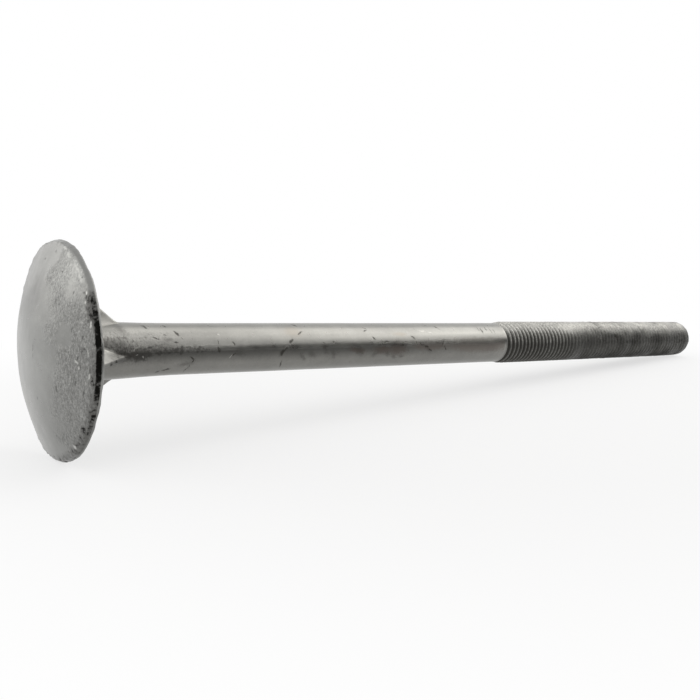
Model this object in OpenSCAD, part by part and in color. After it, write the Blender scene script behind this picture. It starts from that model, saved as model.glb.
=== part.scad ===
// Dome head timber bolt, hot-dip galvanised.
// One forging: a shallow domed head with a thin rim, four tapering fins under it that bite into
// the wood, a plain shank a little thinner than the thread, and a long rolled thread to a blunt end.
// It lies as it comes to rest: on the lowest point of the rim and on the end of the thread.

/* [Shank] */
// Length from the head's underside to the end
bolt_len = 355.6; // [200:0.1:600]
// Diameter of the plain shank
shank_d = 17.84; // [14:0.01:22]

/* [Thread] */
// Diameter over the crests of the zinc-coated thread
thread_d = 19.18; // [18.4:0.01:25]
// Length of the thread, from the end
thread_len = 149.4; // [50:0.1:180]
// Length of the curve from the shank out to the thread
run_in_len = 6; // [2:0.1:12]
// Chamfer on the end
end_chamfer = 0.8; // [0.3:0.1:3]

/* [Head] */
// Diameter of the head at the widest part of its rim
head_d = 69.85; // [55:0.05:90]
// Height of the head, from its underside to the crown
head_h = 9.5; // [6:0.1:16]
// Height of the rim band, below the dome
rim_h = 2.3; // [1.6:0.1:4]
// How far the rim draws in between its widest part and the dome's edge
rim_draw = 0.6; // [0.1:0.1:1.5]
// Rounding of the rim's edge at the underside
rim_round = 0.9; // [0.4:0.1:1.2]
// Fillet between the underside and the neck
root_fillet = 2; // [0.5:0.1:4]

/* [Neck] */
// How much the neck swells over the shank's radius where it meets the head
neck_swell = 0.9; // [0.1:0.1:2]
// Length over which the swell fades into the shank
neck_len = 44; // [25:1:80]

/* [Fins] */
// Number of fins
fin_count = 4; // [3:1:4]
// Length of a fin along the neck
fin_len = 18.1; // [10:0.1:30]
// How far a fin's crest stands from the axis at the underside
fin_reach = 23.4; // [16:0.1:26]
// Width of a fin where it stands on the neck, at the underside
fin_foot_w = 14; // [4:0.1:16]
// Width of a fin's rounded crest
fin_crest_w = 1.3; // [0.6:0.1:3]
// Turn of the fins about the axis, from upright, as the bolt lies
fin_turn = 9.5; // [0:0.5:89]

/* [Hidden] */
$fn = 96;
zinc_grey = [0.63, 0.63, 0.61];

shank_r = shank_d / 2;
thread_r = thread_d / 2;
head_r = head_d / 2;
fillet_steps = 6;
swell_steps = 8;
run_in_steps = 6;

// Dome: a spherical cap that stands on the rim's upper edge.
edge_r = head_r - rim_draw;
dome_h = head_h - rim_h;
dome_r = (edge_r ^ 2 + dome_h ^ 2) / (2 * dome_h);

// Rest: the line that touches the rim's rounded edge and the last of the thread is the ground.
rim_centre = [head_r - rim_round, -rim_round];
foot = [thread_r, bolt_len - end_chamfer];
foot_run = foot[1] - rim_centre[1];
foot_rise = rim_centre[0] - foot[0];
lie_angle = atan(foot_rise / foot_run) + asin(rim_round / norm([foot_run, foot_rise]));
lie_height = foot[1] * sin(lie_angle) + foot[0] * cos(lie_angle);
low_x = (dome_r - head_h) * cos(lie_angle) - dome_r;
high_x = bolt_len * cos(lie_angle) + (thread_r - end_chamfer) * sin(lie_angle);

// Radius of the neck at a height above the underside, without its root fillet.
function neck_r(z) = shank_r + neck_swell * (1 - z / neck_len) ^ 2;

// Points of an arc about a centre, from one angle to another.
function arc(centre, r, from, to, steps) =
    [for (i = [0:steps]) centre + r * [cos(from + (to - from) * i / steps), sin(from + (to - from) * i / steps)]];

// The bolt's half section: radius to the right, length up, underside of the head at zero.
module head_section() {
    intersection() {
        translate([0, dome_r - head_h]) circle(r = dome_r);
        translate([0, -head_h]) square([edge_r, dome_h]);
    }
    polygon(concat(
        [[0, -rim_h], [edge_r, -rim_h]],
        arc(rim_centre, rim_round, 0, 90, fillet_steps),
        [[0, 0]]
    ));
}

module neck_section() {
    fillet_centre = [neck_r(root_fillet) + root_fillet, root_fillet];
    polygon(concat(
        [[0, 0]],
        arc(fillet_centre, root_fillet, 270, 180, fillet_steps),
        [for (i = [1:swell_steps]) let(z = root_fillet + (neck_len - root_fillet) * i / swell_steps) [neck_r(z), z]],
        [[0, neck_len]]
    ));
}

module shank_section() {
    run_in = bolt_len - thread_len - run_in_len;
    polygon(concat(
        [[0, neck_len], [shank_r, neck_len]],
        [for (i = [0:run_in_steps]) let(t = i / run_in_steps)
            [shank_r + (thread_r - shank_r) * t ^ 2 * (3 - 2 * t), run_in + run_in_len * t]],
        [foot, [thread_r - end_chamfer, bolt_len], [0, bolt_len]]
    ));
}

// One fin: a wedge whose rounded crest comes down as its foot narrows, until both run out on the neck.
// Its flat sides run on to the planes midway between the fins, and a little past them, so wide fins
// meet round the neck. Its root lies inside the head.
module fin() {
    crest_r = fin_crest_w / 2;
    crest_steps = 4;
    lean = (fin_foot_w / 2 - crest_r) / (fin_reach - shank_r);
    midway = 180 / fin_count + 1;
    ring = function (z) let(
        crest_y = shank_r + (fin_reach - shank_r) * (1 - z / fin_len) - crest_r,
        foot_r = (crest_r + lean * crest_y) / (sin(midway) + lean * cos(midway)),
        foot_x = foot_r * sin(midway),
        foot_y = foot_r * cos(midway)
    ) [for (p = concat([[0, 0], [-foot_x, foot_y]], arc([0, crest_y], crest_r, 180, 0, crest_steps), [[foot_x, foot_y]]))
        [p[0], p[1], z]];
    per_ring = crest_steps + 4;
    polyhedron(concat(ring(-rim_h / 2), ring(fin_len)), concat(
        [[for (i = [per_ring - 1:-1:0]) i]],
        [[for (i = [0:per_ring - 1]) per_ring + i]],
        [for (i = [0:per_ring - 1]) let(j = (i + 1) % per_ring) [i, j, per_ring + j, per_ring + i]]
    ));
}

module timber_bolt() {
    color(zinc_grey)
    translate([-(low_x + high_x) / 2, 0, lie_height])
    rotate([0, 90 + lie_angle, 0]) {
        rotate_extrude() {
            head_section();
            neck_section();
            shank_section();
        }
        for (i = [0:fin_count - 1])
            rotate([0, 0, 90 + fin_turn + i * 360 / fin_count]) fin();
    }
}

timber_bolt();
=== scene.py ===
"""Looks of the dome head timber bolt: one hot-dip galvanised forging on a pale floor.

Sizes are in millimetres in the bolt's own coordinates, and become metres in the row frame:
s runs along the bolt from the underside of the head towards the tip, negative into the head,
r is the distance from its axis, and phi is the angle round it in degrees, from the top
of the lying bolt (0) over its near side (90) to the underside (180).
"""

import math

import bpy
import numpy as np
from mathutils import Matrix, Vector


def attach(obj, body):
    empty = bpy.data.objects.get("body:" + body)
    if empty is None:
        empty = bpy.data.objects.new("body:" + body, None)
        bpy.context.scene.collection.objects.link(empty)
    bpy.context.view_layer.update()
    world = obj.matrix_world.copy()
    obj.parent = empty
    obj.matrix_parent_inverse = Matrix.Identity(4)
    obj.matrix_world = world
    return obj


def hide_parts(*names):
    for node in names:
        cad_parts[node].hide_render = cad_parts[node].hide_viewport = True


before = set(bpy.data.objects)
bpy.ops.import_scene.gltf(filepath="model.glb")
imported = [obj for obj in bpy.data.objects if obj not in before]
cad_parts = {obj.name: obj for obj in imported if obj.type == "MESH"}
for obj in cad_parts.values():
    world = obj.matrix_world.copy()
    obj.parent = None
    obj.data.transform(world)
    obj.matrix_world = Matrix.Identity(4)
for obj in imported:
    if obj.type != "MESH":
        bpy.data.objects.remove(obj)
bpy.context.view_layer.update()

MM = 0.001

# ------------------------------------------------------------------ sizes, mm
BOLT_LEN = 355.6        # from the underside of the head to the tip
SHANK_R = 8.92
THREAD_R = 9.59         # over the crests
THREAD_FROM = 206.2     # where the thread has its full size
RUN_IN = 6.0            # length over which the thread grows out of the shank
END_CHAMFER = 0.8
PITCH = 2.54
GROOVE = 1.1            # depth of the thread's first grooves
HEAD_R = 34.925
HEAD_H = 9.5
RIM_H = 2.3
RIM_DRAW = 0.6          # the rim is this much smaller in radius at the dome
RIM_ROUND = 0.9         # radius of the rim's lower edge
NECK_SWELL = 0.9        # the neck's extra radius at the head
NECK_LEN = 44.0
ROOT_FILLET = 2.0       # where the neck leaves the head
FIN_FILLET = 0.7        # where a fin leaves the head
FIN_FIRST = 9.5         # angle of the first fin; the others follow at right angles
FIN_LEN = 18.1
FIN_REACH = 23.4        # radius of a fin's crest at the head
FIN_CREST_W = 1.3
FIN_FOOT_W = 14.0
BLEND = 0.35            # how softly a fin's sides meet its crest and the neck

EDGE_R = HEAD_R - RIM_DRAW
DOME_H = HEAD_H - RIM_H
DOME_R = (EDGE_R ** 2 + DOME_H ** 2) / (2 * DOME_H)

# The bolt lies on the lowest point of the rim and on the end of the thread.
FOOT_R = THREAD_R
FOOT_S = BOLT_LEN - END_CHAMFER
RUN = FOOT_S + RIM_ROUND
RISE = HEAD_R - RIM_ROUND - FOOT_R
LIE = math.atan(RISE / RUN) + math.asin(RIM_ROUND / math.hypot(RUN, RISE))
LOW_X = (DOME_R - HEAD_H) * math.cos(LIE) - DOME_R
HIGH_X = BOLT_LEN * math.cos(LIE) + (THREAD_R - END_CHAMFER) * math.sin(LIE)

ALONG = np.array([math.cos(LIE), 0.0, -math.sin(LIE)])
UPWARD = np.array([math.sin(LIE), 0.0, math.cos(LIE)])
NEAR = np.array([0.0, -1.0, 0.0])
ROOT = np.array([-(LOW_X + HIGH_X) / 2, 0.0, FOOT_S * math.sin(LIE) + FOOT_R * math.cos(LIE)])


def place(s, r, phi):
    """Points in the row frame, in mm, from bolt coordinates."""
    s, r, phi = np.broadcast_arrays(s, r, np.radians(phi))
    return (ROOT + s[..., None] * ALONG + (r * np.cos(phi))[..., None] * UPWARD
            + (r * np.sin(phi))[..., None] * NEAR)


# ------------------------------------------------------------------ small maths

def step(low, high, x):
    """Rises smoothly from 0 at low to 1 at high, or falls where low is the greater."""
    t = np.clip((x - low) / (high - low), 0, 1)
    return t * t * (3 - 2 * t)


def mix(a, b, t):
    """From a where t is 0 to b where t is 1."""
    return a + (b - a) * t


def bell(x):
    """1 at 0, and under a fiftieth beyond 2."""
    return np.exp(-x * x)


def soft_max(a, b, k):
    """The larger of a and b, rounded over where they are within k of each other."""
    h = np.clip(0.5 + 0.5 * (a - b) / k, 0, 1)
    return mix(b, a, h) + k * h * (1 - h)


class Noise:
    """Seeded smooth noise in space, about -1 to 1."""

    SIDE = 32

    def __init__(self, seed):
        self.grid = np.random.RandomState(seed).uniform(-1, 1, (self.SIDE,) * 3)

    def __call__(self, points, size):
        q = points / size
        cell = np.floor(q).astype(int)
        t = q - cell
        t = t * t * t * (t * (t * 6 - 15) + 10)
        total = np.zeros(len(points))
        for corner in range(8):
            bits = np.array([corner & 1, corner >> 1 & 1, corner >> 2 & 1])
            share = np.prod(np.where(bits, t, 1 - t), axis=1)
            i = (cell + bits) % self.SIDE
            total += share * self.grid[i[:, 0], i[:, 1], i[:, 2]]
        return total * 1.6


def noise_round(seed, s, phi, radius, size):
    """Noise on a cylinder about the bolt's axis."""
    turn = np.radians(phi)
    around = np.stack([s, radius * np.cos(turn), radius * np.sin(turn)], -1)
    return Noise(seed)(around.reshape(-1, 3), size).reshape(np.shape(s))


# ------------------------------------------------------------------ the forging's surface

def neck_r(s):
    """Radius of the neck and the shank under the fins."""
    return SHANK_R + NECK_SWELL * np.clip(1 - s / NECK_LEN, 0, 1) ** 2


def fin_r(s, phi):
    """Radius of the nearest fin's flat sides and crest."""
    off = np.radians(np.abs((phi - FIN_FIRST + 45) % 90 - 45))
    sunk = 0.05 + 0.7 * step(FIN_LEN - 1.5, FIN_LEN + 3.5, s)
    line = mix(FIN_REACH, SHANK_R, s / FIN_LEN) - 0.75 * bell((s - 4) / 5)
    crest = soft_max(line, neck_r(s) - sunk, 1.6)
    lean = (FIN_FOOT_W - FIN_CREST_W) / 2 / (FIN_REACH - SHANK_R)
    side = (FIN_CREST_W / 2 + lean * crest) / (np.sin(off) + lean * np.cos(off))
    return -soft_max(-crest / np.cos(off), -side, BLEND)


def body_r(s, phi):
    """Radius of the neck with its fins."""
    return soft_max(neck_r(s), fin_r(s, phi), BLEND)


def angles(count, crowd):
    """The ring's angles: even, or crowded towards the fins."""
    quarter = count // 4
    u = (np.arange(count) % quarter) / quarter * 2 - 1
    turn = (np.arange(count) // quarter) * 90.0 + FIN_FIRST
    return turn + 45 * mix(u, 0.35 * u + 0.65 * u ** 3, crowd)


rings = []      # (first vertex, count)
surface = []    # rows of s, r, phi
faces = []


def add_ring(count, s, r, crowd=0.0, joined=True):
    """A ring of vertices, with faces between it and the last ring if it is joined."""
    first = sum(len(part) for part in surface)
    s, r, phi = np.broadcast_arrays(s, r, angles(count, crowd))
    surface.append(np.stack([s, r, phi], 1))
    rings.append((first, count))
    if joined and len(rings) > 1:
        join(*rings[-2], *rings[-1])


def join(a, n, b, m):
    """Faces between ring a of n vertices and ring b of m, which comes after it along the surface."""
    if n == m:
        for j in range(n):
            k = (j + 1) % n
            faces.append((a + j, a + k, b + k, b + j))
        return
    few, many, n_few, n_many, turned = (a, b, n, m, False) if n < m else (b, a, m, n, True)
    share = n_many // n_few
    half = share // 2
    for j in range(n_few):
        k = (j + 1) % n_few
        fine = [many + (j * share + i) % n_many for i in range(share + 1)]
        fan = [(few + j, fine[i], fine[i + 1]) for i in range(half)]
        fan.append((few + j, fine[half], few + k))
        fan += [(few + k, fine[i], fine[i + 1]) for i in range(half, share)]
        faces.extend(f if turned else (f[0], f[2], f[1]) for f in fan)


HEAD_COLUMNS = 320
SHANK_COLUMNS = 80
SHANK_ROW = 1.1         # distance between the shank's rings
# Rings of the dome, from its middle outwards: their number of columns, and their radii.
DOME_RINGS = ((40, np.arange(0.6, 3.1, 0.6)), (80, np.arange(3.6, 7.1, 0.5)),
              (160, np.arange(7.6, 14.2, 0.5)), (HEAD_COLUMNS, np.arange(14.6, EDGE_R - 0.4, 0.5)))
DOME_LAST = EDGE_R - 0.32
# The rim's side, from its rounded upper edge downwards: how far out of the dome's edge, and s.
RIM_SIDE = ((-0.1, -2.28), (0.03, -2.12), (0.12, -1.85), (0.27, -1.5), (0.42, -1.15))
RIM_TURNS = np.radians(np.linspace(5, 90, 6))       # the rings round its lower edge
UNDER_ROWS = 12         # rings from the rim to the fins' roots
FIN_ROWS = 40           # rings along the fins, which end at FINS_TO
FINS_TO = 20.0
EVEN_ROWS = 6           # rings 1 mm apart, over which the columns spread out evenly
FILLET_TURNS = np.radians([18, 36, 54, 72, 90])     # the rings of the fillet under the head


def dome_s(r):
    """The dome's place along the bolt at radius r."""
    return -HEAD_H + DOME_R - np.sqrt(DOME_R ** 2 - np.asarray(r) ** 2)


def make_head():
    """The dome from its middle outwards, with more columns as it widens, and the rim."""
    surface.append(np.array([[-HEAD_H, 0.0, 0.0]]))
    for count, radii in DOME_RINGS:
        for r in radii:
            add_ring(count, dome_s(r), r)
    first, count = rings[0]
    for j in range(count):
        faces.append((0, first + (j + 1) % count, first + j))
    add_ring(HEAD_COLUMNS, dome_s(DOME_LAST), DOME_LAST)
    for out, s in RIM_SIDE:
        add_ring(HEAD_COLUMNS, s, EDGE_R + out)
    for turn in RIM_TURNS:
        s = -RIM_ROUND + RIM_ROUND * np.sin(turn)
        add_ring(HEAD_COLUMNS, s, HEAD_R - RIM_ROUND + RIM_ROUND * np.cos(turn))


def make_underside():
    """The flat underside runs in to the neck and the fins, with a fillet along them."""
    for k in range(1, UNDER_ROWS + 1):
        t = k / UNDER_ROWS
        crowd = float(step(0, 1, t))
        inner, fillet = root_of(angles(HEAD_COLUMNS, crowd))
        add_ring(HEAD_COLUMNS, 0.0, mix(HEAD_R - RIM_ROUND, inner + fillet, t), crowd)
    phi = angles(HEAD_COLUMNS, 1.0)
    inner, fillet = root_of(phi)
    for turn in FILLET_TURNS:
        add_ring(HEAD_COLUMNS, fillet * (1 - math.cos(turn)), inner + fillet * (1 - math.sin(turn)), 1.0)
    for k in range(1, FIN_ROWS + 1):
        s = mix(fillet, FINS_TO, k / FIN_ROWS)
        add_ring(HEAD_COLUMNS, s, body_r(s, phi), 1.0)
    for k in range(1, EVEN_ROWS + 1):
        crowd = 1 - float(step(0, 1, k / EVEN_ROWS))
        phi = angles(HEAD_COLUMNS, crowd)
        add_ring(HEAD_COLUMNS, FINS_TO + k, body_r(FINS_TO + k, phi), crowd)


def root_of(phi):
    """Radius at which the neck or a fin leaves the underside, and the fillet there."""
    bare = neck_r(ROOT_FILLET)
    full = body_r(0.0, phi)
    fillet = mix(ROOT_FILLET, FIN_FILLET, step(0.3, 2.5, full - bare))
    return body_r(fillet, phi), fillet


def make_shank():
    """The plain shank, from the fins' ends to the thread."""
    for s in np.arange(FINS_TO + EVEN_ROWS + 1, THREAD_START - 0.3, SHANK_ROW):
        add_ring(SHANK_COLUMNS, s, body_r(s, angles(SHANK_COLUMNS, 0)))
    add_ring(SHANK_COLUMNS, THREAD_START - 0.15, crest_r(THREAD_START - 0.15))


def crest_r(s):
    """The thread's outside grows out of the shank over the run-in."""
    return mix(SHANK_R, THREAD_R, step(THREAD_FROM - RUN_IN, THREAD_FROM, s))


THREAD_START = THREAD_FROM - RUN_IN + 0.4      # the first grooves cut into the run-in
# One turn of the thread: where its rows lie along the pitch, and how much of the groove is cut there.
THREAD_PHASES = np.array([0.0, 0.09, 0.22, 0.36, 0.5, 0.64, 0.78, 0.91])
THREAD_CUT = np.array([0.0, 0.1, 0.62, 1.0, 1.0, 1.0, 0.62, 0.1])


def make_thread():
    """One helical strip of faces, with a plain ring at each end of it."""
    n, rows = SHANK_COLUMNS, len(THREAD_PHASES)
    turns = int((FOOT_S - 0.3 - THREAD_START) / PITCH) - 1
    before = rings[-1][0]
    first = sum(len(part) for part in surface)
    count = turns * rows + 1
    level = np.arange(count)
    phase = THREAD_PHASES[level % rows] + level // rows
    cut = THREAD_CUT[level % rows]
    s = THREAD_START + PITCH * (phase[:, None] + (np.arange(n) / n)[None, :])
    phi = np.broadcast_to(angles(n, 0), s.shape)
    depth = thread_depth(s, phi) * cut[:, None] * step(0.0, 1.2, s - THREAD_START)
    surface.append(np.stack([s, crest_r(s) - depth, phi], 2).reshape(-1, 3))

    def at(j, k):
        return first + k * n + j if j < n else first + (k + rows) * n + j - n

    for k in range(count - 1):
        for j in range(n):
            if j == n - 1 and k + rows + 1 > count - 1:
                continue
            faces.append((at(j, k), at(j + 1, k), at(j + 1, k + 1), at(j, k + 1)))
    # The wedge between the plain ring and the strip's first edge.
    for j in range(n - 1):
        faces.append((before + j, before + j + 1, at(j + 1, 0), at(j, 0)))
    faces.append((before + n - 1, before) + tuple(at(0, k) for k in range(rows + 1)) + (at(n - 1, 0),))
    # The last edge, and the wedge between it and the plain ring of the end.
    last = count - 1
    add_ring(n, FOOT_S, THREAD_R, joined=False)
    after = rings[-1][0]
    for j in range(n - 1):
        faces.append((at(j, last), at(j + 1, last), after + j + 1, after + j))
    faces.append((at(n - 1, last - rows), at(0, last), after, after + n - 1)
                 + tuple(at(n - 1, k) for k in range(last, last - rows, -1)))


# Turns that show through the zinc near the tip: how far before it, half their length, and depth.
BARE_TURNS = ((81, 7, 0.22), (64, 10, 0.26), (30, 9, 0.2))


def thread_depth(s, phi):
    """The groove is deep where the thread starts and fills with zinc towards the tip."""
    filled = step(THREAD_FROM + 22, THREAD_FROM + 50, s)
    patches = noise_round(16, s, phi, 10.4, 8.0)
    bare = sum(share * bell((s - BOLT_LEN + before) / reach) for before, reach, share in BARE_TURNS)
    little = np.clip(0.28 + 0.2 * patches + bare, 0.06, 0.9)
    return mix(GROOVE * (1 + 0.15 * patches), little, filled)


# Rings round the tip's edge: how far past the last full crest, and how far inside the crests.
TIP_EDGE = ((0.3, 0.1), (0.56, 0.28), (0.73, 0.52))
# Rings of the tip's flat face, inwards: their number of columns, and their radii.
TIP_FACE = ((SHANK_COLUMNS, THREAD_R - 0.85), (SHANK_COLUMNS, 7.9), (SHANK_COLUMNS, 6.9),
            (SHANK_COLUMNS, 5.9), (40, 4.9), (40, 3.8), (20, 2.6), (20, 1.3))


def make_tip():
    """The rounded end of the thread, and its flat face."""
    for past, inside in TIP_EDGE:
        add_ring(SHANK_COLUMNS, FOOT_S + past, THREAD_R - inside)
    for count, r in TIP_FACE:
        add_ring(count, BOLT_LEN, r)
    a, m = rings[-1]
    tip = sum(len(part) for part in surface)
    surface.append(np.array([[BOLT_LEN, 0.0, 0.0]]))
    for j in range(m):
        faces.append((a + j, a + (j + 1) % m, tip))


make_head()
make_underside()
make_shank()
make_thread()
make_tip()
surface = np.concatenate(surface)
S, R, PHI = surface.T
points = place(S, R, PHI)


# ------------------------------------------------------------------ relief: dents, lumps and flakes of zinc

# Lumps on the dome: height above its middle, distance to its near side, length, width, turn of
# the length from upright to the near side, and how far they stand proud.
LUMPS = (
    (31.8, 9.6, 3.2, 0.5, -70, 0.20), (29.9, 13.6, 3.4, 0.6, -60, 0.24), (26.3, 19.2, 4.2, 0.5, -52, 0.20),
    (23.5, 22.6, 4.0, 0.6, -42, 0.24), (0.0, 27.0, 2.2, 0.9, -50, 0.45), (-1.5, 28.2, 1.8, 0.8, 20, 0.34),
    (-26.3, 20.9, 3.0, 2.2, 0, 0.22), (-4.2, 31.9, 1.6, 0.8, 20, 0.18), (20.0, 27.4, 0.8, 0.6, 0, 0.2),
    (17.2, 27.9, 1.1, 0.6, 0, 0.16), (19.4, 17.4, 1.6, 0.7, 30, 0.16), (-23.0, -8.0, 1.6, 0.9, 60, 0.1),
    (2.6, 27.6, 1.0, 0.6, 0, 0.18), (9.0, 32.0, 1.2, 0.6, 0, 0.14),
)
CRATER = (3.1, 30.2, 1.2)       # its place on the dome, as above, and its radius
SHIFT = 0.4                     # the head was forged this far off the shank's axis
FLAT = (-27.5, -22.5, 12.0, 1.05)   # a flattened place at the edge: where, how wide, how deep
BULGE = (21.5, 24.5, 9.0, 0.35)     # a place at the edge that stands out: where, how wide, how far


def dome_part(s):
    """1 on the dome, 0 on the rim's side."""
    return step(-1.9, -2.35, s)


def across(r, phi):
    """Height above the axis, and distance to its near side."""
    return r * np.cos(np.radians(phi)), r * np.sin(np.radians(phi))


def flaky_part(s, r, phi):
    """Where the dome is covered with fine flakes, on its near side."""
    up, near = across(r, phi)
    flat = np.stack([up, near, s], 1)
    part = step(7.0, 16.0, near + 0.15 * up + 4.5 * Noise(3)(flat, 6.0))
    return dome_part(s) * part * step(-1.0, 0.2, Noise(17)(flat, 7.0))


def lump(up, near, flat, high, side, length, width, turn, proud):
    """One lump, or one drop of zinc, with a wavy outline."""
    c, d = math.cos(math.radians(turn)), math.sin(math.radians(turn))
    a, b = (up - high) * c + (near - side) * d, (near - side) * c - (up - high) * d
    bent = b + 0.3 * Noise(9)(flat, 1.6)
    return proud * bell(a / (length / 2)) * bell(bent / (width / 2 + 0.25))


def head_relief(s, r, phi, points):
    """Waves, flakes, lumps, a crater and chips on the head."""
    up, near = across(r, phi)
    flat = np.stack([up, near, s], 1)
    on_dome = dome_part(s)
    on_rim = step(-2.4, -1.9, s) * step(30, 33.5, r)
    on_head = step(0.3, -0.3, s) * step(14, 24, r)
    flaky = flaky_part(s, r, phi)
    # The flakes are round on the upper half and run downwards on the lower half.
    strokes = step(8.0, -10.0, up)
    along = flat * np.array([0.4, 1.0, 1.0])
    pebbles = mix(Noise(4)(flat, 1.6), Noise(4)(along, 1.3), strokes)
    fine = mix(Noise(14)(flat, 0.95), Noise(14)(along, 0.9), strokes)
    out = 0.09 * Noise(1)(points, 13.0) * on_head + 0.03 * Noise(2)(points, 5.0) * on_head
    out += flaky * (0.05 * pebbles + 0.055 * fine) * (0.8 + 0.6 * Noise(5)(flat, 5.0))
    out += 0.012 * (1 - flaky) * on_dome * Noise(6)(flat, 2.2)
    out += on_rim * (0.07 * Noise(7)(flat, 4.2) + 0.06 * Noise(8)(flat, 1.6))
    # Chips along the dome's edge.
    out += bell((s + RIM_H) / 0.35) * step(33, 34, r) * 0.13 * Noise(15)(flat, 1.3)
    for row in LUMPS:
        out += on_dome * lump(up, near, flat, *row)
    ring = np.hypot(up - CRATER[0], near - CRATER[1]) / CRATER[2]
    return out + on_dome * (0.34 * bell((ring - 1) / 0.4) - 0.36 * bell(ring / 0.75))


def shank_relief(s, phi, points):
    """A rough crust at the near fin's foot, faint waves after it, and a fuller underside."""
    shank = step(0.3, 3.0, s) * step(THREAD_START, THREAD_START - 8, s)
    waves = mix(0.05, 0.012, step(10, 55, s)) * Noise(10)(points * np.array([0.45, 1, 1]), 4.0)
    crust = crust_part(s, phi) * (0.10 * Noise(11)(points, 0.8) + 0.04)
    return shank * (waves + crust) + 0.35 * step(1, 4, s) * step(34, 14, s) * bell((phi % 360 - 160) / 45)


def thread_relief(s, phi, points):
    """Lumps of zinc that grow towards the tip, where the underside is worn."""
    far = step(THREAD_FROM + 30, THREAD_FROM + 90, s)
    lumpy = step(THREAD_FROM + 2, THREAD_FROM + 12, s) * mix(0.02, 0.075, far)
    below = step(95, 150, phi % 360) * step(260, 210, phi % 360)
    return (lumpy * (Noise(12)(points, 3.2) - 0.3 + 0.5 * Noise(13)(points, 1.3))
            - 0.25 * step(BOLT_LEN - 14, BOLT_LEN, s) * below)


def relief(s, r, phi, points):
    """How far each point stands proud of the plain forging, in mm."""
    return head_relief(s, r, phi, points) + shank_relief(s, phi, points) + thread_relief(s, phi, points)


def crust_part(s, phi):
    """Where the crust lies: thick at the near fin's foot, thinning out along the shank."""
    wide = bell((s - 30) / 26) * bell((phi - 86) / 14)
    return np.maximum(bell((s - 22.5) / 6) * bell((phi - 92) / 18), 0.66 * wide)


def shift_of_head(s, r, phi):
    """Moves of the whole head, in mm: off the axis, and its flattened edge."""
    up, near = across(r, phi)
    on_head = step(0.3, -0.3, s) * step(16, 26, r) + step(-2.0, -3.0, s) * step(26, 16, r)
    deep = FLAT[3] * bell(np.hypot(up - FLAT[0], near - FLAT[1]) / FLAT[2]) * on_head
    inward = points_inward(up, near)
    out = BULGE[3] * bell(np.hypot(up - BULGE[0], near - BULGE[1]) / BULGE[2]) * on_head
    return ((SHIFT * on_head)[:, None] * NEAR + deep[:, None] * (0.75 * inward + 0.4 * ALONG)
            - out[:, None] * inward)


def points_inward(up, near):
    """Directions towards the bolt's axis."""
    away = np.maximum(np.hypot(up, near), 1e-6)
    return -(up / away)[:, None] * UPWARD - (near / away)[:, None] * NEAR


bolt_mesh = bpy.data.meshes.new("timber_bolt_zinc")
bolt_mesh.from_pydata((points * MM).tolist(), [], faces)
bolt_mesh.validate(verbose=False)
bolt_mesh.update()
normals = np.empty(len(points) * 3)
bolt_mesh.vertices.foreach_get("normal", normals)
points = (points + relief(S, R, PHI, points)[:, None] * normals.reshape(-1, 3)
          + shift_of_head(S, R, PHI))
bolt_mesh.vertices.foreach_set("co", (points * MM).ravel())
bolt_mesh.update()
for poly in bolt_mesh.polygons:
    poly.use_smooth = True


# ------------------------------------------------------------------ where the zinc is darker or brighter: mostly painted light and shade, and specks

def dark_rim(s, r, phi):
    """Painted dark reflection on the near side of the rim: thick from below its middle to high up, fainter
    lower down, and along the dome's edge there.
    """
    up, near = across(r, phi)
    side = step(-2.55, -2.2, s) * step(-0.8, -1.15, s) * step(32.5, 33.6, r) * step(0, 8, near)
    thick = step(-16.0, -7.0, up) * mix(0.8, 1.0, step(14.0, 8.0, up)) * step(23.0, 17.0, up)
    edge = dome_part(s) * step(30.5, 33.8, r) * step(0, 8, near)
    edge = edge * (0.62 * bell((up - 15) / 6.0) + 0.42 * step(14, 0, up))
    return np.maximum(side * np.maximum(thick, 0.45 * step(22, 6, up)), edge)


def shank_tone(s, phi):
    """Painted light and shade along the shank: a dark band on its near side with a highlight line just above
    it, a darker underside, a highlight with shade below it near the head, and a highlight on its upper side
    towards the thread.
    """
    phi = phi % 360
    plain = step(2, 16, s) * step(THREAD_START + 1, THREAD_START - 10, s)
    # painted shade: the dark band on the near side, and just above it a painted highlight line
    oxide = step(83, 91, phi) * step(124, 94, phi) * mix(0.64, 0.42, step(120, 185, s))
    clean = bell((phi - 79) / 5) * step(30, 50, s) * mix(0.5, 1.7, step(110, 180, s))
    # painted shade on the underside, and painted highlights on the upper side near the head and towards the
    # thread
    low = 0.18 * step(100, 125, phi) * step(330, 250, phi)
    near_head = step(50, 26, s) * (0.14 * bell((phi - 42) / 12) - 0.18 * bell((phi - 74) / 9))
    far = 0.16 * bell((phi - 40) / 14) * step(140, 165, s)
    return 1 + plain * (clean - oxide - low + near_head + far)


def low_side(phi):
    """The near and lower sides of the thread."""
    return step(28, 70, phi % 360) * step(280, 220, phi % 360)


def thread_tone(s, phi, groove):
    """Painted light on the thread: a highlight on its top, painted shade on its near and lower sides with
    lighter crests where it starts, and flakes towards the tip that differ at random.
    """
    crisp = step(THREAD_FROM + 55, THREAD_FROM + 28, s)
    far = step(THREAD_FROM + 45, THREAD_FROM + 70, s)
    crest = step(0.35, 0.0, groove)
    phi = phi % 360
    # painted shade on the near and lower sides, with painted highlights on the crests near the start
    low = mix(low_side(phi), low_side(phi - 7), crisp * step(180, 100, phi))
    dull = mix(0.42, mix(0.28, 0.2, crisp), step(80, 93, phi)) * (1 + 2.0 * crest * crisp)
    dull = dull * mix(1, 1.22, far * step(85, 105, phi)) * mix(1, 0.5, far * bell((phi - 150) / 20))
    # painted highlight on the top, brightest near the start
    clean = mix(1.4, 1.9, step(THREAD_FROM + 75, THREAD_FROM + 15, s))
    flakes = noise_round(21, s, phi, THREAD_R, 5.0) + 0.7 * noise_round(22, s, phi, THREAD_R, 2.0)
    return mix(clean, dull, low) * (1 + 0.17 * far * flakes)


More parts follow.
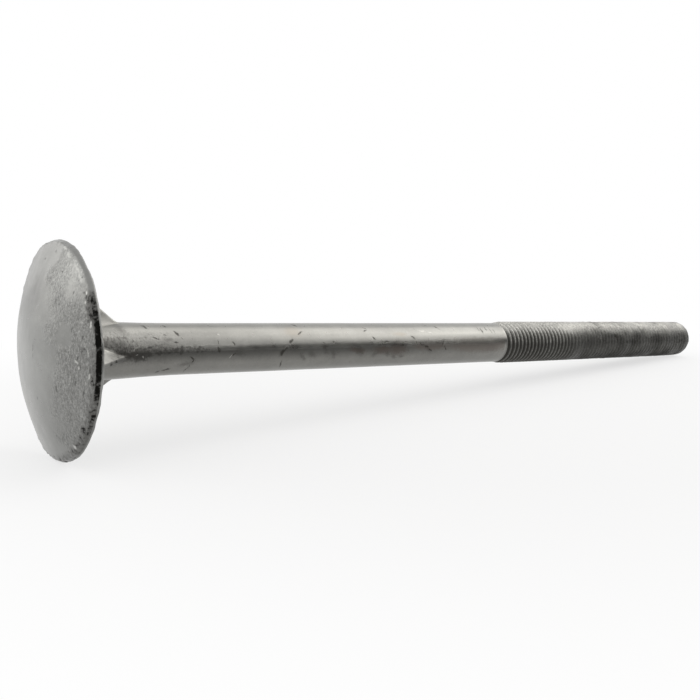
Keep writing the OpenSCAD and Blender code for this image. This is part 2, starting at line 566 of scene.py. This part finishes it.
def dome_tone(s, up, near):
    """Painted light and shade on the dome: lighter low on its far side and at its near upper edge, darker
    high on its far side, with a darker patch high up at its middle and a lighter one just below its middle on
    the near side.
    """
    lower = step(20, 0, up)
    dome = 0.30 * step(12.0, -14.0, near) * lower - 0.06 * step(-14.0, 12.0, near) * lower
    dome -= 0.30 * step(6, 16, up) * step(12, -10, near) + 0.28 * bell((up - 17.5) / 6) * bell((near + 2) / 8)
    dome += 0.66 * bell((up - 27) / 8) * bell((near - 19) / 9)
    return dome_part(s) * (dome + 0.18 * bell((up + 3) / 10) * bell((near - 8) / 9))


def fin_tone(s, r, phi):
    """Painted highlights on the near fin's upper side and on the top fin's near side, and painted shade in
    the creases along their roots.
    """
    phi = phi % 360
    height = r - neck_r(s)
    along = step(0.3, 1.0, s)
    # painted highlights on the fins' lit sides, and painted shade in the creases at their roots
    sides = 0.8 * bell((phi - 22) / 14) + 1.1 * step(60, 66, phi) * step(100, 96, phi)
    feet = 0.5 * step(55, 65, phi) * step(99, 96, phi) + 0.35 * step(8, 13, phi) * step(50, 40, phi)
    return along * (step(18, 16, s) * step(0.15, 0.7, height) * sides
                    - step(20, 16, s) * bell((height - 0.2) / 0.35) * feet)


TIP_TONE = 0.75         # the tip's flat face


def tone_of(s, r, phi, groove):
    """Broad painted light and shade on the zinc: on the dome, the rim, the fins, the shank and the thread;
    the tip's flat face is plain.
    """
    up, near = across(r, phi)
    on_rim = step(-2.4, -2.1, s) * step(0.2, -0.2, s) * step(32.5, 33.6, r)
    # painted shade on the rim: a little darker high on its near side, darker low down
    rim = -0.1 * step(10, 20, up) * step(0, 8, near) - 0.25 * step(-10, -16, up)
    thread = step(THREAD_START, THREAD_START + 1.0, s)
    tip = step(THREAD_R - 0.6, THREAD_R - 1.3, r) * step(BOLT_LEN - 1, BOLT_LEN, s)
    head = 1 + dome_tone(s, up, near) + on_rim * rim + fin_tone(s, r, phi)
    return mix(head * shank_tone(s, phi) * mix(1, thread_tone(s, phi, groove), thread), TIP_TONE, tip)


def neck_specks(s, r, phi):
    """Where the neck is specked with dirt, between the fins."""
    bare = step(0.9, 0.3, r - neck_r(s))
    return bare * step(46, 12, s) * step(0.2, 1.0, s) * step(25, 60, phi % 360) * step(125, 100, phi % 360)


in_thread = (S > THREAD_START) & (S < FOOT_S - 0.01)
GROOVE_SHARE = np.where(in_thread, (crest_r(S) - R) / GROOVE, 0.0)
LAYERS = {
    "flaky": flaky_part(S, R, PHI),
    # painted shade in the thread's grooves, stronger on its near and lower sides
    "groove": GROOVE_SHARE * mix(0.4, 1.0, low_side(PHI)),
    # painted dark reflection on the rim's near side
    "rim_dark": dark_rim(S, R, PHI),
    "crust": crust_part(S, PHI),
    # broad painted light and shade
    "tone": tone_of(S, R, PHI, GROOVE_SHARE),
    "neck": neck_specks(S, R, PHI),
    "thread": step(THREAD_START, THREAD_START + 2.0, S),
}
for name, values in LAYERS.items():
    layer = bolt_mesh.attributes.new(name, "FLOAT", "POINT")
    layer.data.foreach_set("value", np.ascontiguousarray(values, dtype=np.float32))
bolt = bpy.data.objects.new("timber_bolt_zinc", bolt_mesh)
bpy.context.scene.collection.objects.link(bolt)

# ------------------------------------------------------------------ materials

# The camera, as it was fitted to the bolt's outline in the photo.
CAMERA_FROM_HEAD = np.array([-93.232, -264.282, 39.334])     # mm, from the middle of its underside
CAMERA_LOOK = Vector((0.61154, 0.77044, -0.18010))
FRAME_PX = 700
FOCAL_PX = 848.951
AXIS_BELOW_MIDDLE_PX = 30
BOLT_AXES = np.array([ALONG, NEAR, UPWARD])


def sight(x, y):
    """The camera's place and its direction through a pixel of the photo: along the bolt, near, up."""
    right = (x - FRAME_PX / 2) / FOCAL_PX
    high = (FRAME_PX / 2 + AXIS_BELOW_MIDDLE_PX - y) / FOCAL_PX
    through = CAMERA_LOOK.to_track_quat("-Z", "Y") @ Vector((right, high, -1)).normalized()
    return BOLT_AXES @ CAMERA_FROM_HEAD, BOLT_AXES @ np.array(through)


def seen_on_bolt(x, y):
    """s and phi of what a pixel of the photo shows of the neck, the shank or the thread."""
    eye, way = sight(x, y)
    r = SHANK_R
    for _ in range(6):      # a few rounds, because the radius depends on s
        a, b, c = way[1:] @ way[1:], eye[1:] @ way[1:], eye[1:] @ eye[1:] - r * r
        s, near, up = eye - way * (b + math.sqrt(b * b - a * c)) / a
        r = THREAD_R if s > THREAD_FROM else float(neck_r(s))
    return s, math.degrees(math.atan2(near, up))


def seen_on_dome(x, y):
    """Height above the dome's middle and distance to its near side of what a pixel shows of it."""
    eye, way = sight(x, y)
    eye = eye - np.array([DOME_R - HEAD_H, 0.0, 0.0])
    b, c = eye @ way, eye @ eye - DOME_R ** 2
    s, near, up = eye - way * (b + math.sqrt(b * b - c))
    return up, near


def from_ends(x0, y0, x1, y1, width, past=None):
    """A mark on the bolt from its two ends in the photo, made longer by past, or by half its width."""
    s0, phi0 = seen_on_bolt(x0, y0)
    s1, phi1 = seen_on_bolt(x1, y1)
    ahead, over = s1 - s0, math.radians(phi1 - phi0) * SHANK_R
    length = math.hypot(ahead, over) + (width / 2 if past is None else past)
    return (s0 + s1) / 2, (phi0 + phi1) / 2, length, width, math.degrees(math.atan2(over, ahead))


# Marks on the neck, the shank and the thread that the photo shows, as they were read off it:
# the pixels x, y of one end and of the other, the width in mm, and in some how much longer they are.
PITS_SEEN = (
    (174, 331.5, 178.5, 336, 1.0), (174, 342, 178, 342.5, 0.6), (153.5, 338, 160, 339.5, 0.5),
    (143, 326, 147, 329, 0.6), (161, 325, 165, 327, 0.4), (163, 335, 167, 335.5, 0.4),
    (181, 338, 183, 339, 0.4), (232.5, 342, 236, 345.5, 0.8), (218.5, 346, 220, 352, 0.9),
    (218, 340, 218.6, 345, 0.4), (231, 357, 236, 353, 0.5), (190, 357, 195, 360, 0.7),
    (194, 359, 191.5, 363.5, 0.6), (190, 364, 182, 372.5, 0.3), (162, 370.5, 170, 368.5, 0.8),
    (155.5, 372.5, 158.5, 371, 0.6), (280, 355.5, 284, 349, 1.6), (284, 350, 288, 346.5, 0.7),
    (279.5, 367, 281.5, 361, 0.7), (289.5, 343.5, 292.5, 339.5, 1.1), (291, 324.5, 297, 326.5, 0.7),
    (297.5, 334.5, 302, 331.5, 0.5), (361, 326.5, 366.5, 329.5, 0.4), (366.5, 330, 363, 331.5, 0.4),
    (333, 341.5, 335, 343, 0.5), (323, 342.5, 325, 343.5, 0.5), (372, 337, 376, 339.5, 0.6),
    (384, 342.5, 390, 341.5, 0.8), (374, 343.5, 384, 342, 0.4), (398, 342, 418, 343.2, 0.4),
    (411, 336, 415, 339, 0.6), (416, 341, 418, 344, 0.6), (433, 326, 439, 329, 0.7),
    (419.5, 343, 425, 346, 0.5), (425, 346, 428, 346.5, 0.8), (429, 348.5, 431, 351, 0.7),
    (442.5, 344.5, 444.5, 339.5, 1.0), (444, 345, 446, 350, 0.6), (476, 327, 479, 331, 0.5),
    (480, 328.5, 483, 333, 0.8), (483.5, 327, 487, 331, 0.5), (488, 328, 492, 333, 0.5),
    (492, 328.5, 495, 333, 0.4), (615.5, 336, 618, 336.5, 2.4),
)
SMUDGES_SEEN = (
    (332.5, 350.5, 334, 357.5, 2.2, 1.4), (301, 354, 304, 360, 1.6, 1.1), (358, 348, 362, 354, 3.4, 2.5),
    (372, 355.5, 377, 352.5, 2.0, 1.7), (386, 353, 389, 355, 1.8, 1.8), (392, 355, 395, 358, 1.6, 1.2),
    (399, 356.5, 403, 356, 1.6, 1.3),
)
FLECKS_SEEN = (
    (217.5, 334, 219, 334.5, 0.6), (229, 358.5, 233, 354.5, 0.35), (136, 356, 138, 353.5, 0.3, -0.1),
    (142, 356, 144, 358, 0.3, -0.1), (419.5, 331, 424, 331, 0.8), (428, 332, 432, 333, 0.7),
    (133, 351, 135, 349, 0.4),
)
STAIN_SEEN = (391, 348.5, 405, 348.5, 7.0, 3.4)
TAN_SEEN = ((288, 332, 297, 331, 5.5, 4.2), (395, 334, 405, 334.5, 2.0, 2.6))
# The rest are placed freely: s, phi, length, width, and turn of the length from the axis towards
# greater phi.
PITS = [from_ends(*row) for row in PITS_SEEN] + [
    (286.2, 80, 2.0, 1.4, 80), (10.6, 101, 2.2, 1.2, 80), (8.0, 103, 2.0, 0.8, 10),
    (13.0, 99, 1.4, 0.8, 30),
]
SMUDGES = [from_ends(*row) for row in SMUDGES_SEEN] + [
    (98.0, 92, 5.0, 2.4, 60), (92.0, 104, 4.0, 2.0, 20), (152.0, 98, 5.0, 2.0, 30), (60.0, 96, 5.0, 2.0, 10),
    (40.0, 118, 7.0, 2.2, -10), (17.5, 38, 5.0, 3.0, 60), (26.0, 26, 3.4, 1.4, 60),
    (8.0, 60, 3.0, 1.6, 70), (33.0, 62, 4.0, 1.6, 5),
]
FLECKS = [from_ends(*row) for row in FLECKS_SEEN]
STAIN = [from_ends(*STAIN_SEEN), (127.0, 96, 12.0, 4.0, 3), (114.0, 96, 9.0, 2.4, 8)]
# Long brownish stains along the shank's near side, which also paint the shade of its dark band there.
BROWN = ((184.0, 90, 44.0, 6.5, 1), (153.0, 88, 22.0, 4.0, 1))
TAN = [from_ends(*row) for row in TAN_SEEN]
# Pits of the dome that were read off the photo: the pixel x, y of the middle, then length, width,
# and turn of the length from upright.
DOME_PITS_SEEN = (
    (63, 272, 0.8, 0.6, 0), (85, 293, 1.3, 0.9, 70), (74, 293, 1.0, 0.7, 30), (94, 294, 1.4, 0.9, 0),
    (33, 347, 2.4, 0.6, 10), (33, 356, 2.0, 0.5, 0), (37.5, 398, 0.9, 0.6, 0), (56, 251, 0.8, 1.2, 0),
    (45, 259, 0.7, 1.0, 0), (83, 338, 1.2, 0.7, 0), (72, 330, 1.2, 0.6, 0), (90, 372, 1.6, 0.8, 0),
    (84, 395, 3.0, 0.7, 10), (56.8, 390, 2.6, 0.8, 0), (75, 383.5, 2.2, 0.6, 0), (78, 358, 1.0, 0.6, 0),
    (54, 456.3, 1.0, 1.8, 0),
)
# Those in and by the crater, and the painted glints, most of them on the dome's lumps: height above the
# dome's middle, distance to its near side, length, width, and turn.
DOME_PITS = [(*seen_on_dome(x, y), *size) for x, y, *size in DOME_PITS_SEEN] + [
    (3.3, 29.2, 2.0, 0.8, 0), (-0.8, 28.9, 1.6, 0.7, 0), (4.4, 30.0, 0.8, 1.6, 0),
]
# painted glints on the dome, most of them on its lumps
DOME_FLECKS = (
    (32.2, 10.2, 3.4, 0.8, -70), (30.3, 14.2, 3.2, 0.9, -60), (26.9, 20.0, 4.2, 0.8, -52),
    (24.0, 23.4, 3.8, 0.9, -42), (0.1, 27.0, 2.0, 0.7, -50), (-1.5, 28.2, 1.2, 0.6, 20),
    (3.2, 31.6, 2.0, 0.7, 0), (20.0, 27.4, 0.8, 0.7, 0), (17.2, 27.9, 1.2, 0.6, 0),
    (-26.2, 20.6, 1.5, 1.4, 0), (11.3, 31.4, 1.6, 0.7, 0), (-3.8, 32.0, 1.6, 0.8, 20),
)


class Graph:
    """Short names for the nodes of one material."""

    def __init__(self, tree):
        self.tree = tree

    def node(self, kind, links=(), **settings):
        made = self.tree.nodes.new(kind)
        for key, value in settings.items():
            setattr(made, key, value)
        for socket, source in links:
            if isinstance(source, bpy.types.NodeSocket):
                self.tree.links.new(source, made.inputs[socket])
            else:
                made.inputs[socket].default_value = source
        return made

    def math(self, operation, *values):
        return self.node("ShaderNodeMath", tuple(enumerate(values)), operation=operation).outputs[0]

    def vector(self, operation, *values, out="Vector"):
        return self.node("ShaderNodeVectorMath", tuple(enumerate(values)), operation=operation).outputs[out]

    def between(self, value, low, high, to_low=0.0, to_high=1.0, kind="SMOOTHSTEP"):
        return self.node("ShaderNodeMapRange", (("Value", value), ("From Min", low), ("From Max", high),
                                                ("To Min", to_low), ("To Max", to_high)),
                         interpolation_type=kind).outputs[0]

    def noise(self, at, size, detail=2.0, rough=0.5, out="Fac"):
        """Noise of about the given size in the units of its coordinates."""
        return self.node("ShaderNodeTexNoise", (("Vector", at), ("Scale", 1 / size), ("Detail", detail),
                                                ("Roughness", rough))).outputs[out]

    def blend(self, share, a, b):
        """Colour a, with a share of colour b over it."""
        made = self.node("ShaderNodeMix", data_type="RGBA")
        for i, source in ((0, share), (6, a), (7, b)):
            if isinstance(source, bpy.types.NodeSocket):
                self.tree.links.new(source, made.inputs[i])
            else:
                made.inputs[i].default_value = source
        return made.outputs[2]

    def layer(self, name):
        """A layer of the mesh's own values."""
        return self.node("ShaderNodeAttribute", attribute_name=name).outputs["Fac"]

    def spot(self, at, centre, along, outward, length, width, depth=3.0):
        """Distance from a mark's middle, which is 1 at its edge."""
        z = Vector(outward).normalized()
        y = z.cross(Vector(along)).normalized()
        turn = Matrix((y.cross(z), y, z)).transposed().to_euler()
        return self.vector("LENGTH", self.node(
            "ShaderNodeMapping", (("Vector", at), ("Location", centre), ("Rotation", turn),
                                  ("Scale", (length / 2, width / 2, depth))),
            vector_type="TEXTURE").outputs[0], out="Value")

    def nearest(self, distances):
        """The least of the distances, each taken up as soon as its nodes are made."""
        least = next(distances)
        for other in distances:
            least = self.math("MINIMUM", least, other)
        return least


def on_shank(graph, at, marks):
    """The distances from marks on the neck, the shank and the thread."""
    for s, phi, length, width, turn in marks:
        c, d, t = math.cos(math.radians(phi)), math.sin(math.radians(phi)), math.radians(turn)
        r = THREAD_R if s > THREAD_FROM else float(body_r(np.array([float(s)]), np.array([float(phi)]))[0])
        along = (math.cos(t), -math.sin(t) * c, -math.sin(t) * d)
        yield graph.spot(at, (s, -r * d, r * c), along, (0, -d, c), length, width)


def on_dome(graph, at, marks):
    """The distances from marks on the dome. They are shallow, so that they stay off the rim's side."""
    for up, near, length, width, turn in marks:
        t = math.radians(turn)
        r = math.hypot(up, near)
        centre = (float(dome_s(r)), -near, up)
        outward = (-math.sqrt(DOME_R ** 2 - r ** 2), -near, up)
        yield graph.spot(at, centre, (0, -math.sin(t), math.cos(t)), outward, length, width, 1.2)


# Lengths of the bolt, each with its own copy of the zinc that holds only the marks near it.
REGIONS = (("head", -99.0, 0.2), ("neck", 0.2, 47.0), ("shank_head_end", 47.0, 108.0),
           ("shank_middle", 108.0, 142.0), ("shank_far_end", 142.0, 200.0), ("thread", 200.0, 999.0))
ZINC_HEAD, ZINC_SHANK = (0.262, 0.262, 0.251), (0.265, 0.261, 0.244)
MARGIN = 7.0        # marks this far outside a region may still reach into it
# What lies on the zinc, and the painted shade, reflections and glints, from the lowest: its share where it is
# thickest, and its tint.
TINTS = (
    ("tan", 0.6, (0.25, 0.23, 0.2)), ("brown", 0.5, (0.125, 0.103, 0.088)),
    ("stain", 0.6, (0.075, 0.058, 0.05)), ("grooves", 0.75, (0.045, 0.043, 0.038)),
    ("grime", 0.8, (0.075, 0.073, 0.068)), ("dross", 0.97, (0.007, 0.007, 0.006)),
    ("soot", 0.65, (0.035, 0.033, 0.03)), ("specks", 0.6, (0.06, 0.055, 0.05)),
    ("smudges", 0.42, (0.05, 0.047, 0.043)), ("pits", 0.74, (0.028, 0.025, 0.021)),
    ("dome_pits", 0.6, (0.07, 0.07, 0.065)), ("flecks", 0.5, (0.48, 0.47, 0.44)),
    ("dome_flecks", 0.7, (0.62, 0.62, 0.59)),
)
# How much rougher each makes the zinc.
ROUGHER = (("flaky", 0.08), ("thread", 0.10), ("dross", 0.25), ("pits", 0.2), ("crust", 0.12),
           ("brown", 0.04))
# Fine relief, in mm: of flakes that run downwards, of grain, and of whole marks.
STROKE_RELIEF = (("flaky", 0.07),)
GRAIN_RELIEF = (("flaky", 0.18), ("thread", 0.22), ("crust", 0.25), ("neck", 0.07), ("dross", 0.12))
MARK_RELIEF = (("pits", -0.03), ("dome_pits", -0.06), ("flecks", 0.03))


def zinc_material(name, low, high, zinc):
    """Weathered hot-dip zinc: a metal with blurred reflections, flakes, pits, dross and a few stains, and
    painted shade, reflections and highlights.
    """
    mat = bpy.data.materials.new("galvanised_zinc_" + name)
    mat.use_nodes = True
    g = Graph(mat.node_tree)
    bsdf = mat.node_tree.nodes["Principled BSDF"]
    # Bolt coordinates in mm: along it, to its far side, up.
    at = g.node("ShaderNodeMapping", (
        ("Vector", g.node("ShaderNodeTexCoord").outputs["Object"]),
        ("Location", (-float(ROOT @ ALONG), 0.0, -float(ROOT @ UPWARD))),
        ("Rotation", (0.0, -LIE, 0.0)), ("Scale", (1 / MM,) * 3))).outputs[0]
    masks = {layer: g.layer(layer) for layer in LAYERS}
    upright = g.vector("MULTIPLY", at, (1.0, 1.0, 0.4))
    broad = g.noise(at, 9.0)
    middle = g.noise(at, 2.6, 3.0)
    strokes = g.between(g.noise(upright, 0.55, 3.0, 0.6), 0.4, 0.62)
    grain = g.noise(at, 0.7, 4.0, 0.75)
    wobble = g.vector("MULTIPLY_ADD", g.noise(at, 1.4, 2.0, out="Color"), (1.5,) * 3, (-0.75,) * 3)
    bent = g.vector("ADD", at, wobble)

    def marks(table, edge, full, spots=on_shank):
        """A ragged mask of the table's marks that this region shows, if there are any."""
        near_here = [m for m in table if low - MARGIN < m[0] < high + MARGIN]
        if spots is on_dome:
            near_here = table if low < 0 else []
        if not near_here:
            return None
        ragged = g.math("MULTIPLY_ADD", grain, 1.3, g.nearest(spots(g, bent, near_here)))
        return g.between(ragged, edge + 0.65, full + 0.65)

    coarse = g.noise(at, 1.1, 3.0, 0.6)
    mottle = g.math("ADD", g.math("MULTIPLY", coarse, 0.8), g.math("MULTIPLY", middle, 0.7))
    patchy = g.math("MULTIPLY_ADD", mottle, 2.2, -1.15)
    specks = g.math("MULTIPLY_ADD", masks["neck"], 0.3, g.noise(upright, 0.9, 3.0, 0.7))
    # soot on the crust at the near fin's foot, which also paints the shade of its crease
    soot = g.math("ADD", g.math("MULTIPLY", masks["crust"], 0.7), mottle)
    masks.update(
        pits=marks(PITS, 1.3, 0.35), smudges=marks(SMUDGES, 1.5, 0.1), flecks=marks(FLECKS, 1.3, 0.6),
        stain=marks(STAIN, 1.35, 0.3), brown=marks(BROWN, 1.3, 0.55), tan=marks(TAN, 1.4, 0.3),
        dome_pits=marks(DOME_PITS, 1.35, 0.5, on_dome), dome_flecks=marks(DOME_FLECKS, 1.4, 0.5, on_dome),
        # two levels of the rim's painted dark reflection, made ragged by noise that also adds patches of
        # dross
        dross=g.between(g.math("ADD", masks["rim_dark"], patchy), 1.0, 1.4),
        grime=g.between(g.math("MULTIPLY_ADD", patchy, 0.3, masks["rim_dark"]), 0.25, 0.75),
        soot=g.between(soot, 0.98, 1.3), specks=g.between(specks, 0.76, 0.9),
        # painted shade in the thread's grooves
        grooves=g.between(masks["groove"], 0.05, 0.75))
    masks = {layer: mask for layer, mask in masks.items() if mask is not None}

    # the painted light and shade, with brightness that differs at random
    bright = g.math("MULTIPLY", masks["tone"], g.between(broad, 0.3, 0.7, 0.94, 1.06, "LINEAR"))
    bright = g.math("MULTIPLY", bright, g.between(middle, 0.3, 0.7, 0.95, 1.05, "LINEAR"))
    uneven = g.math("MULTIPLY_ADD", masks["neck"], 0.4, g.math("ADD", masks["thread"], masks["flaky"]))
    for pattern, amount, least in ((strokes, 0.26, 0.03), (grain, 1.8, 0.25)):
        strength = g.math("MULTIPLY_ADD", uneven, amount, least)
        change = g.math("MULTIPLY", g.math("SUBTRACT", pattern, 0.5), strength)
        bright = g.math("MULTIPLY", bright, g.math("ADD", change, 1.0))
    colour = g.vector("SCALE", zinc)
    mat.node_tree.links.new(bright, colour.node.inputs["Scale"])
    for layer, share, tint in TINTS:
        if layer in masks:
            colour = g.blend(g.math("MULTIPLY", masks[layer], share), colour, tint + (1,))
    mat.node_tree.links.new(colour, bsdf.inputs["Base Color"])
    bsdf.inputs["Metallic"].default_value = 1.0

    rough = g.between(middle, 0.3, 0.7, 0.27, 0.34, "LINEAR")
    for layer, amount in ROUGHER:
        if layer in masks:
            rough = g.math("MULTIPLY_ADD", masks[layer], amount, rough)
    mat.node_tree.links.new(rough, bsdf.inputs["Roughness"])

    height = g.math("MULTIPLY", g.noise(at, 0.45, 2.0), 0.012)
    for pattern, table in ((strokes, STROKE_RELIEF), (grain, GRAIN_RELIEF), (None, MARK_RELIEF)):
        for layer, amount in table:
            if layer in masks:
                mask = g.math("MULTIPLY", masks[layer], pattern) if pattern else masks[layer]
                height = g.math("MULTIPLY_ADD", mask, amount, height)
    bump = g.node("ShaderNodeBump", (("Strength", 1.0), ("Distance", MM), ("Height", height)))
    mat.node_tree.links.new(bump.outputs[0], bsdf.inputs["Normal"])
    return mat


middle_s = np.array([S[list(poly.vertices)].mean() for poly in bolt_mesh.polygons])
for name, low, high in REGIONS:
    bolt_mesh.materials.append(zinc_material(name, low, high, ZINC_HEAD if low < 0 else ZINC_SHANK))
bolt_mesh.polygons.foreach_set(
    "material_index", np.searchsorted([low for name, low, high in REGIONS], middle_s, "right") - 1)
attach(bolt, "root")
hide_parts("timber_bolt")

# ------------------------------------------------------------------ floor, cards and light

WHITE = (1, 1, 1, 1)
FLOOR_COLOUR = (0.9, 0.9, 0.9, 1)
FLOOR_WHITE = 0.62                      # how white the floor is seen near the object
FLOOR_HALF = 6.0
FLOOR_FRONT = -0.22
FLOOR_NEAR, FLOOR_FAR = 0.12, 0.30      # it is seen as wholly white beyond FLOOR_FAR
WORLD_LEVEL = 0.75


def plane(name, corners, material):
    mesh = bpy.data.meshes.new(name)
    mesh.from_pydata([Vector(c) for c in corners], [], [tuple(range(len(corners)))])
    mesh.materials.append(material)
    obj = bpy.data.objects.new(name, mesh)
    bpy.context.scene.collection.objects.link(obj)


def seen(graph):
    """1 for what the camera and reflections see, 0 for what only lights the scene."""
    rays = graph.node("ShaderNodeLightPath").outputs
    return graph.math("MAXIMUM", graph.math("MAXIMUM", rays["Is Camera Ray"], rays["Is Glossy Ray"]),
                      rays["Is Transmission Ray"])


def seen_as_white(name, colour, share):
    """A matt surface that the camera and reflections see partly as plain white."""
    mat = bpy.data.materials.new(name)
    mat.use_nodes = True
    mat.node_tree.nodes.clear()
    g = Graph(mat.node_tree)
    matt = g.node("ShaderNodeBsdfDiffuse", (("Color", colour),)).outputs[0]
    white = g.node("ShaderNodeEmission", (("Color", WHITE), ("Strength", 1.0))).outputs[0]
    # The share rises to all of it away from the object, so that no edge shows at the horizon.
    away = g.vector("LENGTH", g.node("ShaderNodeNewGeometry").outputs["Position"], out="Value")
    part = g.math("MULTIPLY", seen(g), g.between(away, FLOOR_NEAR, FLOOR_FAR, share, 1.0))
    blend = g.node("ShaderNodeMixShader", ((0, part), (1, matt), (2, white))).outputs[0]
    g.node("ShaderNodeOutputMaterial", (("Surface", blend),))
    return mat


plane("floor", [(-FLOOR_HALF, FLOOR_FRONT, 0), (FLOOR_HALF, FLOOR_FRONT, 0),
                (FLOOR_HALF, FLOOR_HALF, 0), (-FLOOR_HALF, FLOOR_HALF, 0)],
      seen_as_white("pale_floor", FLOOR_COLOUR, FLOOR_WHITE))


def world_light():
    """White where it is seen and in reflections, a plain level elsewhere."""
    world = bpy.data.worlds.new("studio")
    bpy.context.scene.world = world
    world.use_nodes = True
    world.node_tree.nodes.clear()
    g = Graph(world.node_tree)
    strength = g.between(seen(g), 0.0, 1.0, WORLD_LEVEL, 1.0, "LINEAR")
    back = g.node("ShaderNodeBackground", (("Color", WHITE), ("Strength", strength))).outputs[0]
    g.node("ShaderNodeOutputWorld", (("Surface", back),))


world_light()

LIGHT_COLOUR = (1.0, 0.98, 0.95)
AIM = (0, 0, 0.03)
# Each softbox's name, its place and size in metres, and its power in watts.
SOFTBOXES = (
    ("softbox_overhead", (0.5, 0.15, 1.05), (0.6, 0.6), 0.9),
    ("softbox_right", (0.8, -0.05, 0.8), (0.6, 0.6), 1.25),
    ("softbox_right_front", (0.7, -0.4, 0.8), (0.5, 0.5), 0.8),
    ("softbox_right_low", (0.85, -0.5, 0.5), (0.6, 0.5), 1.0),
    ("softbox_behind", (-0.45, 0.95, 0.3), (0.6, 0.45), 0.5),
    ("softbox_left", (-0.9, 0.5, 0.4), (0.6, 0.5), 0.5),
)


def area(name, where, size, power):
    data = bpy.data.lights.new(name, "AREA")
    data.shape = "RECTANGLE"
    data.size, data.size_y = size
    data.energy = power
    data.color = LIGHT_COLOUR
    obj = bpy.data.objects.new(name, data)
    obj.location = where
    obj.rotation_euler = (Vector(AIM) - Vector(where)).to_track_quat("-Z", "Y").to_euler()
    bpy.context.scene.collection.objects.link(obj)


for name, where, size, power in SOFTBOXES:
    area(name, where, size, power)


def grey(name, level):
    mat = bpy.data.materials.new(name)
    mat.use_nodes = True
    shader = mat.node_tree.nodes["Principled BSDF"]
    shader.inputs["Base Color"].default_value = (level, level, level, 1)
    shader.inputs["Roughness"].default_value = 0.9
    return mat


def curved_card(name, radius, az_from, az_to, low, high, level):
    """A standing card, part of a circle round the object, that the camera doesn't see and that casts no
    shadow.

    Azimuth is in degrees from +Y towards +X.
    """
    steps = 24
    corners, quads = [], []
    for i in range(steps + 1):
        az = math.radians(az_from + (az_to - az_from) * i / steps)
        for z in (low, high):
            corners.append((radius * math.sin(az), radius * math.cos(az), z))
    for i in range(steps):
        quads.append((2 * i, 2 * i + 2, 2 * i + 3, 2 * i + 1))
    mesh = bpy.data.meshes.new(name)
    mesh.from_pydata(corners, [], quads)
    mesh.materials.append(grey(name, level))
    obj = bpy.data.objects.new(name, mesh)
    bpy.context.scene.collection.objects.link(obj)
    obj.visible_camera = False
    obj.visible_shadow = False


curved_card("dark_card", radius=0.9, az_from=108, az_to=250, low=-0.3, high=0.30, level=0.01)

# ------------------------------------------------------------------ camera

CAMERA_AT = (ROOT + CAMERA_FROM_HEAD) * MM
SENSOR = 36.0

camera_data = bpy.data.cameras.new("camera")
camera_data.sensor_width = SENSOR
camera_data.lens = FOCAL_PX / FRAME_PX * SENSOR
camera_data.shift_y = AXIS_BELOW_MIDDLE_PX / FRAME_PX
camera_data.clip_start = 0.01
camera_data.clip_end = 50.0
camera = bpy.data.objects.new("camera", camera_data)
camera.location = Vector(CAMERA_AT)
camera.rotation_euler = CAMERA_LOOK.to_track_quat("-Z", "Y").to_euler()
bpy.context.scene.collection.objects.link(camera)
bpy.context.scene.camera = camera

bpy.context.scene.view_settings.view_transform = "Standard"
